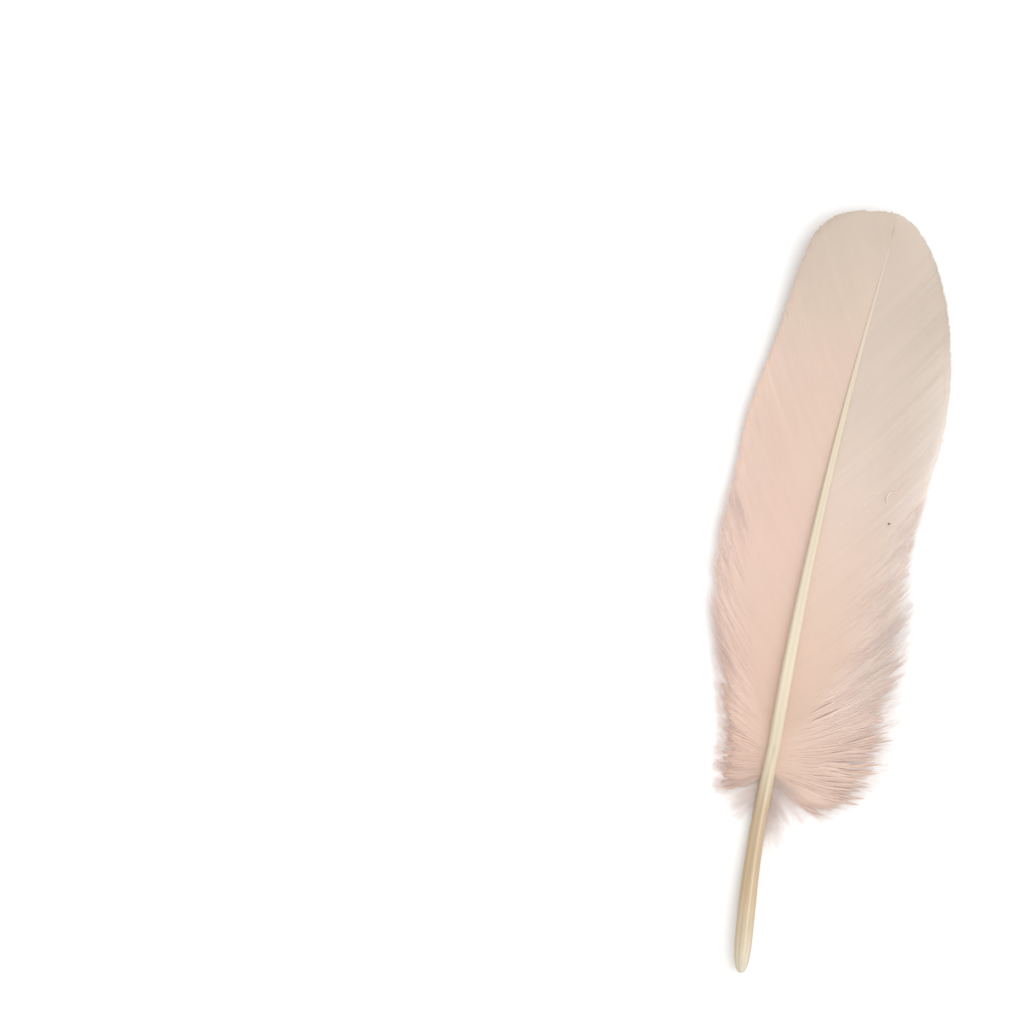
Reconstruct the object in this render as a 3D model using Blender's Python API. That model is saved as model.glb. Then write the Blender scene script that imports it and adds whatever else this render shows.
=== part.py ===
"""A goose body feather dyed pale pink, lying on its back with the grooved side of its shaft up.

The feather is one grown piece, so it is one solid: the shaft, the two vanes that run into each
other past its end, and the locks of down round its foot, all joined by a Boolean union.
Y runs from the quill's end to the tip of the vanes, X to the right, and Z up from the surface
that the feather lies on. Run it with: blender --background --python part.py
"""

import math

import bmesh
import bpy
from mathutils import Vector

MM = 0.001

# Driving sizes
LENGTH = 188.8 * MM  # quill end to the tip of the vanes
SHAFT_LENGTH = 183.4 * MM  # the shaft ends a little before the vanes do
LAST_BARB = 184.6 * MM  # the barbs that run straight ahead start here
SHAFT_BOW = 3.6 * MM  # how far the shaft bows to the left of its own chord
QUILL_BEND = 0.9 * MM  # the extra bow of the bare quill
QUILL_LENGTH = 56.0 * MM  # round quill, up to the first barbs of the vane
UMBILICUS = 54.6 * MM  # the small pit on the upper side where the quill ends and the groove starts
UMBILICUS_DEPTH = 0.2  # of the shaft's height
VANE_THICKNESS = 0.7 * MM  # beside the shaft
RIM_THICKNESS = 0.3 * MM
BARB_RIDGE = 0.18 * MM  # how far each bundle of barbs stands over the furrow beside it
TIP_LIFT = 5.5 * MM  # the tip curls up from the surface
QUILL_LIFT = 1.8 * MM
LIE_FROM, LIE_TO = 60.0 * MM, 124.0 * MM  # the stretch that lies flat
FLAT_HALF_WIDTH = 7.0 * MM
EDGE_DISTANCE = 24.0 * MM  # distance from the shaft at which a vane is up by its edge lift
LEFT_EDGE_LIFT, RIGHT_EDGE_LIFT = 3.2 * MM, 2.4 * MM

# Shaft width at distances from the quill's end
SHAFT_WIDTHS = (
    (0.0, 1.3), (1.2, 2.6), (3.5, 3.7), (8.0, 4.3), (14.0, 4.35), (30.0, 3.9), (45.0, 3.6),
    (56.0, 3.2), (77.0, 3.0), (97.0, 2.6), (120.0, 2.1), (138.0, 1.65), (161.0, 1.15),
    (178.0, 0.8), (183.4, 0.5),
)
SHAFT_BOTTOM = 0.15 * MM  # the shaft's underside lies this far inside the vanes' sheet
ROUND_UP_TO, SQUARE_FROM = 48.0 * MM, 62.0 * MM  # the round quill turns into the squarer rachis
RACHIS_SQUARENESS = 2.9  # superellipse power of the rachis's section, where 2 is round
GROOVE_DEPTH = 0.16  # of the shaft's height, down the middle of its upper side
GROOVE_FADES_FROM, GROOVE_ENDS = 132.0 * MM, 172.0 * MM

# Half width of the whole feather, down and vane, from the shaft's line
LEFT_WIDTHS = (
    (36.0, 0.5), (39.0, 8.0), (45.0, 12.0), (56.0, 13.5), (69.0, 16.8), (78.0, 19.6), (88.0, 22.2),
    (107.0, 24.0), (120.0, 23.3), (133.0, 23.3), (152.0, 21.2), (170.0, 20.1), (189.0, 18.6),
)
RIGHT_WIDTHS = (
    (35.0, 0.5), (38.0, 10.0), (44.0, 19.5), (52.0, 25.0), (66.0, 27.2), (84.0, 27.4), (97.0, 26.2),
    (106.0, 24.4), (126.0, 24.7), (138.0, 25.0), (189.0, 25.0),
)
LEFT_SHOULDER = (130.0, 16.0, 0.5)  # where the tip's rounding starts, and its two powers
RIGHT_SHOULDER = (135.0, 1.8, 0.58)

# Angle of a barb from the shaft's direction, at its root and at its end, in degrees
ROOT_ANGLES = (
    (47.0, 128.0), (50.0, 108.0), (53.0, 86.0), (56.0, 69.0), (60.0, 58.0), (66.0, 51.0),
    (76.0, 47.0), (90.0, 44.0), (110.0, 41.0), (140.0, 38.0), (160.0, 33.0), (174.0, 24.0),
    (184.6, 0.0),
)
END_ANGLE_SHARE = 0.74
TURNING_RUN = 36.0 * MM  # the run over which a barb turns from its root angle to its end angle
# Share of a barb's length that is zipped into the smooth vane
ZIPPED_SHARES = ((54.0, 0.3), (60.0, 0.5), (70.0, 0.7), (82.0, 0.88), (94.0, 1.0))

# Counts
SHAFT_RINGS = 44
SHAFT_SIDES = 12
VANE_ROWS = 46
VANE_COLUMNS = 7
LOCKS_A_SIDE = 26
LOCK_SECTIONS = 6
LOCK_SIDES = 5

# Down
FIRST_LOCK, LAST_LOCK = 47.5 * MM, 88.0 * MM  # where the lowest and highest lock are rooted
LOCK_HALF_WIDTH, LOCK_HALF_HEIGHT = 1.75 * MM, 1.0 * MM
LOCK_CROWDING = 1.3  # power that draws the locks closer together towards the quill
LOCK_TIP = 0.16  # size of a lock's tip, as a share of its middle
LAYER_LIFTS = (0.0 * MM, 1.1 * MM, 2.1 * MM)
GROUND_GAP = 0.1 * MM

PALE_PINK = (0.80, 0.60, 0.50, 1.0)


def through(stations, at, unit=MM):
    """The value of a smooth curve through stations, which are pairs of millimetres and a value."""
    place = at / MM
    if place <= stations[0][0]:
        return stations[0][1] * unit
    if place >= stations[-1][0]:
        return stations[-1][1] * unit
    last = len(stations) - 1
    i = next(k for k in range(last) if stations[k + 1][0] >= place)
    (x0, y0), (x1, y1) = stations[i], stations[i + 1]
    chord = (y1 - y0) / (x1 - x0)

    def slope(k):
        """Slope at station k: the harmonic mean of the chords beside it, so nothing overshoots."""
        if k in (0, last):
            return chord
        before = (stations[k][1] - stations[k - 1][1]) / (stations[k][0] - stations[k - 1][0])
        after = (stations[k + 1][1] - stations[k][1]) / (stations[k + 1][0] - stations[k][0])
        return 2 * before * after / (before + after) if before * after > 0 else 0.0

    t = (place - x0) / (x1 - x0)
    step = x1 - x0
    hermite = (
        (1 + 2 * t) * (1 - t) ** 2 * y0
        + t * (1 - t) ** 2 * step * slope(i)
        + t * t * (3 - 2 * t) * y1
        + t * t * (t - 1) * step * slope(i + 1)
    )
    return hermite * unit


def share_of(value, start, end):
    """How far the value is from start to end, from 0 to 1."""
    return min(1.0, max(0.0, (value - start) / (end - start)))


def shaft_x(y):
    """Where the shaft's line lies, left of its chord."""
    bow = SHAFT_BOW * math.sin(math.pi * y / SHAFT_LENGTH)
    bend = QUILL_BEND * math.sin(math.pi * y / QUILL_LENGTH) if y < QUILL_LENGTH else 0.0
    return -bow - bend


def lift_along(y):
    """How far the feather's underside is off the surface, on the shaft's line."""
    if y < LIE_FROM:
        return QUILL_LIFT * ((LIE_FROM - y) / LIE_FROM) ** 2
    if y > LIE_TO:
        return TIP_LIFT * ((y - LIE_TO) / (LENGTH - LIE_TO)) ** 2
    return 0.0


def underside(x, y):
    """Height of the vanes' underside: flat where the feather lies, and curled up at the edges."""
    from_shaft = x - shaft_x(min(y, SHAFT_LENGTH))
    edge_lift = LEFT_EDGE_LIFT if from_shaft < 0 else RIGHT_EDGE_LIFT
    beyond = max(0.0, abs(from_shaft) - FLAT_HALF_WIDTH) / (EDGE_DISTANCE - FLAT_HALF_WIDTH)
    return lift_along(y) + edge_lift * beyond**2


def half_width(side, y):
    """Distance from the shaft's line to the feather's edge at y, on the side -1 (left) or +1."""
    start, sharpness, power = LEFT_SHOULDER if side < 0 else RIGHT_SHOULDER
    width = through(LEFT_WIDTHS if side < 0 else RIGHT_WIDTHS, y)
    up_the_tip = (y - start * MM) / (LENGTH - start * MM)
    if up_the_tip <= 0:
        return width
    return width * max(0.0, 1 - up_the_tip**sharpness) ** power


def barb_offset(root, run):
    """Sideways and forward offset of a barb rooted at root, after a run of that length."""
    start = math.radians(through(ROOT_ANGLES, root, unit=1.0))
    bend = start * (END_ANGLE_SHARE - 1) / TURNING_RUN
    if abs(start) < 1e-6:
        return 0.0, run
    angle = start + bend * run
    out = (math.cos(start) - math.cos(angle)) / bend
    forward = (math.sin(angle) - math.sin(start)) / bend
    return out, forward


def barb_length(side, root):
    """How far a barb runs before it meets the feather's outline."""
    step = 0.25 * MM
    run = step
    while run < 60 * MM:
        out, forward = barb_offset(root, run)
        y = root + forward
        if y >= LENGTH or out >= half_width(side, y):
            break
        run += step
    return run


def barb_point(side, root, run):
    """Plan position of a point on a barb."""
    out, forward = barb_offset(root, run)
    y = root + forward
    return shaft_x(min(y, SHAFT_LENGTH)) + side * out, y


def link(name, mesh, collection):
    """A new object that holds the mesh."""
    obj = bpy.data.objects.new(name, mesh)
    collection.objects.link(obj)
    return obj


def as_mesh(name, bm):
    """The bmesh as a mesh whose faces point out."""
    bmesh.ops.remove_doubles(bm, verts=bm.verts, dist=1e-6)
    bmesh.ops.recalc_face_normals(bm, faces=bm.faces)
    mesh = bpy.data.meshes.new(name)
    bm.to_mesh(mesh)
    bm.free()
    return mesh


def tube(name, rings):
    """A closed mesh skinned over rings of equal count, with both ends filled."""
    bm = bmesh.new()
    loops = [[bm.verts.new(point) for point in ring] for ring in rings]
    count = len(rings[0])
    for near, far in zip(loops, loops[1:]):
        for k in range(count):
            bm.faces.new((near[k], near[(k + 1) % count], far[(k + 1) % count], far[k]))
    bm.faces.new(list(reversed(loops[0])))
    bm.faces.new(loops[-1])
    return as_mesh(name, bm)


def shaft_mesh():
    """Quill and rachis: round at the quill, squarer and grooved on top along the vanes."""
    shares = [i / SHAFT_RINGS for i in range(SHAFT_RINGS + 1)]
    stations = [SHAFT_LENGTH * (0.35 * share**2 + 0.65 * share) for share in shares]
    stations += [0.4 * MM, 1.3 * MM, UMBILICUS - 1 * MM, UMBILICUS, UMBILICUS + 1 * MM]
    rings = []
    for y in sorted(stations):
        width = through(SHAFT_WIDTHS, y)
        rachis = share_of(y, ROUND_UP_TO, SQUARE_FROM)
        power = 2 + (RACHIS_SQUARENESS - 2) * rachis
        fade = 1 - share_of(y, GROOVE_FADES_FROM, GROOVE_ENDS)
        pit = UMBILICUS_DEPTH if abs(y - UMBILICUS) < 0.1 * MM else 0.0
        groove = GROOVE_DEPTH * rachis * fade + pit
        centre = Vector((shaft_x(y), y, lift_along(y) + SHAFT_BOTTOM + width / 2))
        ring = []
        for k in range(SHAFT_SIDES):
            angle = math.tau * k / SHAFT_SIDES
            c, s = math.cos(angle), math.sin(angle)
            across = math.copysign(abs(c) ** (2 / power), c)
            up = math.copysign(abs(s) ** (2 / power), s)
            if k == SHAFT_SIDES // 4:
                up -= 2 * groove  # the section runs from -1 to 1
            ring.append(centre + Vector((across * width / 2, 0, up * width / 2)))
        rings.append(ring)
    return tube("shaft", rings)


def vane_roots():
    """Places along the shaft where the modelled bundles of barbs start, closer near the tip."""
    first, last = QUILL_LENGTH, LAST_BARB
    return [
        first + (last - first) * math.sin(math.pi / 2 * (i / VANE_ROWS)) ** 0.9
        for i in range(VANE_ROWS + 1)
    ]


def vane_mesh():
    """Both vanes as one thin sheet under the shaft, with a low ridge for each bundle of barbs."""
    bm = bmesh.new()
    shares = [j / VANE_COLUMNS for j in range(-VANE_COLUMNS, VANE_COLUMNS + 1)]
    under, over = [], []
    for i, root in enumerate(vane_roots()):
        ridge = BARB_RIDGE if i % 2 else 0.0
        low, high = [], []
        zipped = through(ZIPPED_SHARES, root, unit=1.0)
        for share in shares:
            side = -1 if share < 0 else 1
            run = barb_length(side, root) * zipped * abs(share)
            x, y = barb_point(side, root, run)
            z = underside(x, y)
            thickness = VANE_THICKNESS + (RIM_THICKNESS - VANE_THICKNESS) * abs(share)
            inside = 1 - abs(share) ** 4
            low.append(bm.verts.new((x, y, z)))
            high.append(bm.verts.new((x, y, z + thickness + ridge * inside)))
        under.append(low)
        over.append(high)
    columns = len(shares)
    for i in range(VANE_ROWS):
        for j in range(columns - 1):
            bm.faces.new((under[i][j], under[i + 1][j], under[i + 1][j + 1], under[i][j + 1]))
            bm.faces.new((over[i][j], over[i][j + 1], over[i + 1][j + 1], over[i + 1][j]))
        for j in (0, columns - 1):
            bm.faces.new((under[i][j], over[i][j], over[i + 1][j], under[i + 1][j]))
    for j in range(columns - 1):
        bm.faces.new((under[0][j], under[0][j + 1], over[0][j + 1], over[0][j]))
    return as_mesh("vanes", bm)


def lock_mesh(side, index):
    """One lock of down: a soft tapering tuft that follows the barbs where it is rooted."""
    share = (index + 0.5) / LOCKS_A_SIDE
    root = FIRST_LOCK + (LAST_LOCK - FIRST_LOCK) * share**LOCK_CROWDING
    layer_lift = LAYER_LIFTS[index % len(LAYER_LIFTS)]
    zipped = through(ZIPPED_SHARES, root, unit=1.0)
    start = 0.75 * zipped - 0.1 if root > QUILL_LENGTH + 2 * MM else 0.0
    whole = barb_length(side, root)
    sway = 1.2 * MM * math.sin(2.4 * index + side)
    rings = []
    for i in range(LOCK_SECTIONS + 1):
        along = i / LOCK_SECTIONS
        run = whole * (start + (1 - start) * along)
        x, y = barb_point(side, root, run)
        y += sway * along**2
        swell = max(0.0, math.sin(math.pi * (0.08 + 0.92 * along))) ** 0.7
        swell = LOCK_TIP + (1 - LOCK_TIP) * swell
        half_height = LOCK_HALF_HEIGHT * swell
        fan_out = math.sin(math.pi * 0.62 * along)
        height = underside(x, y) + GROUND_GAP + half_height + layer_lift * fan_out
        if start == 0.0:
            at_shaft = lift_along(root) + 0.45 * through(SHAFT_WIDTHS, root)
            blend = max(0.0, 1 - 3 * along)
            height += (at_shaft - height) * blend
        x1, y1 = barb_point(side, root, run + 0.2 * MM)
        x0, y0 = barb_point(side, root, max(0.0, run - 0.2 * MM))
        ahead = Vector((x1 - x0, y1 - y0, 0)).normalized()
        aside = Vector((-ahead.y, ahead.x, 0))
        ring = []
        for k in range(LOCK_SIDES):
            angle = math.tau * (k + 0.25) / LOCK_SIDES
            across = aside * math.cos(angle) * LOCK_HALF_WIDTH * swell
            ring.append(Vector((x, y, height + math.sin(angle) * half_height)) + across)
        rings.append(ring)
    return tube(f"lock_{'left' if side < 0 else 'right'}_{index}", rings)


def pink_material():
    """Dyed barbs: matte, and the same all over the solid."""
    material = bpy.data.materials.new("pale_pink_barbs")
    material.use_nodes = True
    shader = material.node_tree.nodes["Principled BSDF"]
    shader.inputs["Base Color"].default_value = PALE_PINK
    shader.inputs["Roughness"].default_value = 0.75
    shader.inputs["Metallic"].default_value = 0.0
    return material


def bottom_centre(obj):
    """Middle of the underside of the object's box, as the viewport evaluates it."""
    bpy.context.view_layer.update()
    evaluated = obj.evaluated_get(bpy.context.evaluated_depsgraph_get())
    points = [evaluated.matrix_world @ vertex.co for vertex in evaluated.data.vertices]
    low = [min(point[axis] for point in points) for axis in range(3)]
    high = [max(point[axis] for point in points) for axis in range(3)]
    return Vector(((low[0] + high[0]) / 2, (low[1] + high[1]) / 2, low[2]))


def main():
    """Builds the feather and puts the middle of its underside at the origin."""
    for obj in list(bpy.data.objects):
        bpy.data.objects.remove(obj, do_unlink=True)
    collection = bpy.context.scene.collection
    origin = bpy.data.objects.new("underside_centre", None)
    collection.objects.link(origin)

    feather = link("feather", vane_mesh(), collection)
    feather.data.materials.append(pink_material())
    feather.parent = origin

    grown_on = bpy.data.collections.new("grown_on_the_vanes")
    collection.children.link(grown_on)
    shapes = [shaft_mesh()]
    shapes += [lock_mesh(side, i) for side in (-1, 1) for i in range(LOCKS_A_SIDE)]
    for mesh in shapes:
        helper = link(f"{mesh.name}_shape", mesh, grown_on)
        helper.hide_render = True
        helper.display_type = "WIRE"
        helper.parent = origin

    union = feather.modifiers.new("grow_together", "BOOLEAN")
    union.operation = "UNION"
    union.operand_type = "COLLECTION"
    union.collection = grown_on
    union.solver = "EXACT"

    origin.location = -bottom_centre(feather)


main()
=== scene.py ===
"""Looks of a goose feather dyed pale pink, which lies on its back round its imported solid.

The feather is made of its shaft, two smooth vanes of zipped barbs, and the down of its foot and
margins. Plan positions are millimetres from the quill's end: Y along the shaft's chord to the tip,
X to the right, Z up from the surface that it lies on.
"""

import logging
import math
from collections.abc import Callable
from dataclasses import dataclass, field, replace
from enum import Enum

import bpy
import numpy as np
from mathutils import Matrix, Vector


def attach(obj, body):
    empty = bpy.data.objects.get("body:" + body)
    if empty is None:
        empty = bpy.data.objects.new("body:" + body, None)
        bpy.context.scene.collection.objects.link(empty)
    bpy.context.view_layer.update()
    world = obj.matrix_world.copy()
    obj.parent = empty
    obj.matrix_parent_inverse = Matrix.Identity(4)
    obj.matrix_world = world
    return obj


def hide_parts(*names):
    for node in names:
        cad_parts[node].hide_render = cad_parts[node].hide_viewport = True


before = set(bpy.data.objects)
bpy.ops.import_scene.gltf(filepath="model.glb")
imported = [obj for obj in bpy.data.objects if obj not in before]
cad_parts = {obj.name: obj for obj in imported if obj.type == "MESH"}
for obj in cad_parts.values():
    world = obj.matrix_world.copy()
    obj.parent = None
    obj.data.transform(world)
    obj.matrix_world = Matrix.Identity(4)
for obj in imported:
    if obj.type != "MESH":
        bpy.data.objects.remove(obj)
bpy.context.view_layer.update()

MM = 0.001
NODE = "feather"
BODY = "root"
FLOOR_GAP = 0.03 * MM
LINE_GAP = 0.12 * MM
log = logging.getLogger("feather")

Array = np.ndarray
Rgb = tuple[float, float, float]
Stops = tuple[tuple[float, Rgb], ...]


class Side(Enum):
    """The two sides of the shaft, as seen from above with the tip away from the viewer."""

    LEFT = -1
    RIGHT = 1


class Slot(Enum):
    """Material slots of the record."""

    VANES = "vanes"
    DOWN = "down"
    SHAFT = "shaft"


# Shader and geometry trees


def math_method(operation: str, flipped: bool = False) -> Callable[..., "Sock"]:
    """A method that adds a Math node.

    Args:
        operation: The node's operation.
        flipped: Whether the other value comes first, as in a reflected operator.

    Returns:
        The method, which takes the other value where the operation has one.
    """

    def method(sock: "Sock", other: "Value" = 0.0) -> "Sock":
        """Adds the node and gives its output."""
        first, second = (other, sock) if flipped else (sock, other)
        return sock.tree.add("ShaderNodeMath", {"operation": operation}, {0: first, 1: second})

    return method


class Sock:
    """One output of a node, on which arithmetic adds Math nodes."""

    def __init__(self, tree: "Tree", socket: bpy.types.NodeSocket) -> None:
        """Holds the socket and the tree that new Math nodes go into."""
        self.tree = tree
        self.socket = socket

    __add__ = math_method("ADD")
    __radd__ = math_method("ADD", flipped=True)
    __sub__ = math_method("SUBTRACT")
    __rsub__ = math_method("SUBTRACT", flipped=True)
    __mul__ = math_method("MULTIPLY")
    __rmul__ = math_method("MULTIPLY", flipped=True)
    __truediv__ = math_method("DIVIDE")
    __rtruediv__ = math_method("DIVIDE", flipped=True)
    __pow__ = math_method("POWER")
    __rpow__ = math_method("POWER", flipped=True)
    __mod__ = math_method("MODULO")
    __rmod__ = math_method("MODULO", flipped=True)
    sine = math_method("SINE")
    absolute = math_method("ABSOLUTE")
    at_most = math_method("MINIMUM")
    at_least = math_method("MAXIMUM")

    def between(self, low: float, high: float) -> "Sock":
        """How far the value is from low to high, from 0 to 1."""
        return ((self - low) / (high - low)).at_least(0.0).at_most(1.0)


Value = Sock | float


class Tree:
    """A node tree with one method that adds any node."""

    def __init__(self, tree: bpy.types.NodeTree) -> None:
        """Holds an empty tree.

        Args:
            tree: The tree, whose nodes are cleared.
        """
        self.tree = tree
        tree.nodes.clear()

    def add(
        self,
        kind: str,
        settings: dict[str, object] | None = None,
        sockets: dict[str | int, object] | None = None,
        out: str | int = 0,
    ) -> Sock:
        """Adds a node.

        Args:
            kind: The node's type.
            settings: Its settings, and "stops" for a colour ramp: pairs of a place and a colour.
            sockets: Values or links of its inputs, by name or number.
            out: Name or number of the output that is wanted.

        Returns:
            The output socket.
        """
        node = self.tree.nodes.new(kind)
        for name, value in (settings or {}).items():
            if name == "stops":
                self._set_stops(node.color_ramp, value)
            else:
                setattr(node, name, value)
        for key, value in (sockets or {}).items():
            self.connect(node.inputs[key], value)
        return Sock(self, node.outputs[out])

    def connect(self, socket: bpy.types.NodeSocket, value: object) -> None:
        """Links one or more sockets to an input, or sets its value."""
        if isinstance(value, Sock):
            self.tree.links.new(value.socket, socket)
        elif isinstance(value, list):
            for one in value:
                self.tree.links.new(one.socket, socket)
        elif value is not None:
            socket.default_value = value

    @staticmethod
    def _set_stops(ramp: bpy.types.ColorRamp, stops: list[tuple[float, Rgb]]) -> None:
        """Sets a colour ramp's stops.

        Args:
            ramp: The node's ramp.
            stops: Pairs of a place from 0 to 1 and a linear colour.
        """
        while len(ramp.elements) < len(stops):
            ramp.elements.new(1.0)
        for element, (place, colour) in zip(ramp.elements, stops):
            element.position = place
            element.color = (*colour, 1.0)


class Material(Tree):
    """A material's shader tree."""

    def __init__(self, name: str) -> None:
        """Makes an empty material.

        Args:
            name: The material's name.
        """
        self.material = bpy.data.materials.new(name)
        self.material.use_nodes = True
        super().__init__(self.material.node_tree)

    def coordinate(self) -> tuple[Sock, Sock]:
        """Object coordinates.

        Returns:
            The vector, and its Y, which runs along the feather.
        """
        where = self.add("ShaderNodeTexCoord", out="Object")
        along = self.add("ShaderNodeSeparateXYZ", sockets={0: where}, out="Y")
        return where, along

    def attribute(self, name: str) -> Sock:
        """A number stored on the mesh under that name."""
        settings = {"attribute_name": name}
        return self.add("ShaderNodeAttribute", settings, out="Fac")

    def noise(self, where: Sock, scale: float, detail: float = 3.0, stretch: Rgb = (1, 1, 1)) -> Sock:
        """Noise on a coordinate.

        Args:
            where: The coordinate.
            scale: Lumps to the metre.
            detail: Octaves.
            stretch: Factors on the three axes, where a small one draws the lumps out.

        Returns:
            A value round 0.5.
        """
        placed = self.add("ShaderNodeMapping", sockets={"Vector": where, "Scale": stretch})
        wanted = {"Vector": placed, "Scale": scale, "Detail": detail}
        return self.add("ShaderNodeTexNoise", sockets=wanted)

    def mix(self, share: Value, first: Sock | Rgb, second: Sock | Rgb, blend: str = "MIX") -> Sock:
        """Mixes two colours.

        Args:
            share: How much of the second.
            first: The first colour.
            second: The second colour.
            blend: The blend type.

        Returns:
            The mixed colour.
        """
        pair = [(*c, 1.0) if isinstance(c, tuple) else c for c in (first, second)]
        settings = {"data_type": "RGBA", "blend_type": blend}
        return self.add("ShaderNodeMix", settings, {0: share, 6: pair[0], 7: pair[1]}, out=2)

    def brighten(self, colour: Sock | Rgb, factor: Sock) -> Sock:
        """The colour times a value."""
        grey = self.add("ShaderNodeCombineColor", sockets={0: factor, 1: factor, 2: factor})
        return self.mix(1.0, colour, grey, "MULTIPLY")

    def bump(self, height: Sock, strength: float, depth: float) -> Sock:
        """The normal of a surface with that relief."""
        sockets = {"Strength": strength, "Distance": depth, "Height": height}
        return self.add("ShaderNodeBump", sockets=sockets)

    def finish(self, sockets: dict[str, object], see_through: float = 0.0) -> bpy.types.Material:
        """Finishes with a Principled surface, or with one that lets some light through.

        Args:
            sockets: Values of its inputs, Base Color among them.
            see_through: Share of the light that comes through from behind.

        Returns:
            The material.
        """
        surface = self.add("ShaderNodeBsdfPrincipled", sockets=sockets)
        if see_through:
            colour = {"Color": sockets["Base Color"]}
            behind = self.add("ShaderNodeBsdfTranslucent", sockets=colour)
            pair = {0: see_through, 1: surface, 2: behind}
            surface = self.add("ShaderNodeMixShader", sockets=pair)
        output = self.tree.nodes.new("ShaderNodeOutputMaterial")
        self.connect(output.inputs["Surface"], surface)
        return self.material


def linear(red: float, green: float, blue: float) -> Rgb:
    """The linear colour of an sRGB colour that is given from 0 to 255."""

    def channel(value: float) -> float:
        """One channel."""
        share = value / 255
        return share / 12.92 if share <= 0.04045 else ((share + 0.055) / 1.055) ** 2.4

    return channel(red), channel(green), channel(blue)


def ramp(*rows: tuple[float, int, int, int]) -> Stops:
    """Colour stops from rows of a place and an sRGB colour that is given from 0 to 255."""
    return tuple((place, linear(*colour)) for place, *colour in rows)


# Finishes


@dataclass(frozen=True)
class BarbFinish:
    """Smooth zipped barbs: greyish at the tip, pinker towards the foot, a little see-through."""

    right_dye: Stops = ramp(
        (0.0, 225, 197, 180), (0.16, 231, 205, 188), (0.36, 233, 211, 196), (0.48, 230, 211, 198),
        (0.6, 222, 206, 192), (0.72, 218, 203, 189), (0.84, 211, 196, 182), (1.0, 205, 190, 175),
    )
    left_dye: Stops = ramp(
        (0.0, 225, 197, 180), (0.16, 229, 201, 185), (0.36, 231, 205, 191), (0.48, 229, 204, 189),
        (0.6, 226, 202, 186), (0.72, 223, 200, 185), (0.84, 215, 197, 181), (1.0, 205, 190, 175),
    )
    from_y: float = 60 * MM
    to_y: float = 185 * MM
    blush: Rgb = linear(236, 196, 180)
    blush_share: float = 0.16
    blush_scale: float = 42.0
    blush_stretch: Rgb = (1.6, 0.5, 1.0)
    blush_levels: tuple[float, float] = (0.45, 0.68)
    blush_ends: tuple[float, float] = (0.75, 0.92)
    counter_shade_gain: float = 0.07
    counter_shade_middle: float = 0.45
    right_loose: Rgb = linear(247, 239, 233)
    left_loose: Rgb = linear(250, 228, 215)
    light: float = 1.08
    cloud_scale: float = 45.0
    cloud_contrast: float = 0.05
    barb_contrast: float = 0.036
    roughness: float = 0.65
    sheen: float = 0.1
    see_through: float = 0.25
    barbule_pitch: float = 0.09 * MM
    barbule_slant: float = 25.0
    barbule_strength: float = 0.1
    barbule_depth: float = 0.02 * MM

    def make(self, origin: Vector) -> bpy.types.Material:
        """Makes the material.

        Args:
            origin: The quill's end in the row frame.

        Returns:
            The material.
        """
        m = Material("zipped_barbs")
        where, row_y = m.coordinate()
        share = (row_y - origin.y).between(self.from_y, self.to_y)
        left, right_dye = (
            m.add("ShaderNodeValToRGB", {"stops": stops}, {0: share})
            for stops in (self.left_dye, self.right_dye)
        )
        right = m.attribute("right")
        dye_and_painted_light = m.mix(right, left, right_dye)
        patch = m.noise(where, self.blush_scale, 2.0, self.blush_stretch)
        patch = patch.between(*self.blush_levels)
        blush = patch * (1.0 - right) * (1.0 - share.between(*self.blush_ends)) * self.blush_share
        dye_and_painted_light = m.mix(blush, dye_and_painted_light, self.blush)
        # Loose ends and the outer edge are mixed towards a paler colour: partly the paler look of loose
        # barbs, partly a painted highlight along the edge and painted light where the fluff shades the
        # web.
        loose = m.mix(right, self.left_loose, self.right_loose)
        dye_and_painted_light = m.mix(m.attribute("loose"), dye_and_painted_light, loose)
        cloud = (m.noise(where, self.cloud_scale) - 0.5) * self.cloud_contrast
        barb = (m.attribute("shade") - 0.5) * self.barb_contrast
        # Painted light: the right vane is made lighter towards its raised outer edge and darker near the
        # shaft, to even out the shade that its shape takes.
        edge = (m.attribute("reach") - self.counter_shade_middle) * right * self.counter_shade_gain
        colour = m.brighten(dye_and_painted_light, self.light + cloud + barb + edge)
        along = m.attribute("run") * (math.tau / self.barbule_pitch)
        slant = along + m.attribute("around") * self.barbule_slant
        sockets = {
            "Base Color": colour,
            "Roughness": self.roughness,
            "Normal": m.bump(slant.sine() * 0.5 + 0.5, self.barbule_strength, self.barbule_depth),
            "Sheen Weight": self.sheen,
        }
        return m.finish(sockets, self.see_through)


@dataclass(frozen=True)
class DownFinish:
    """Loose fluff: pale pink and quite see-through; painted shade makes it darker and pinker low down."""

    colour: Rgb = linear(255, 243, 238)
    deep_shade: Rgb = linear(255, 231, 220)
    deep_shade_to: float = 3.0 * MM
    shade_contrast: float = 0.06
    roughness: float = 0.8
    sheen: float = 0.15
    see_through: float = 0.2

    def make(self, origin: Vector) -> bpy.types.Material:
        """Makes the material.

        Args:
            origin: The quill's end in the row frame.

        Returns:
            The material.
        """
        m = Material("down")
        where, _ = m.coordinate()
        height = m.add("ShaderNodeSeparateXYZ", sockets={0: where}, out="Z")
        # Painted shade: darker and pinker near the surface, lighter where the fluff stands higher.
        dye_and_painted_light = m.mix((height - origin.z).between(0.0, self.deep_shade_to), self.deep_shade, self.colour)
        colour = m.brighten(dye_and_painted_light, 1.0 + (m.attribute("shade") - 0.5) * self.shade_contrast)
        sockets = {"Base Color": colour, "Roughness": self.roughness, "Sheen Weight": self.sheen}
        return m.finish(sockets, self.see_through)


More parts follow.
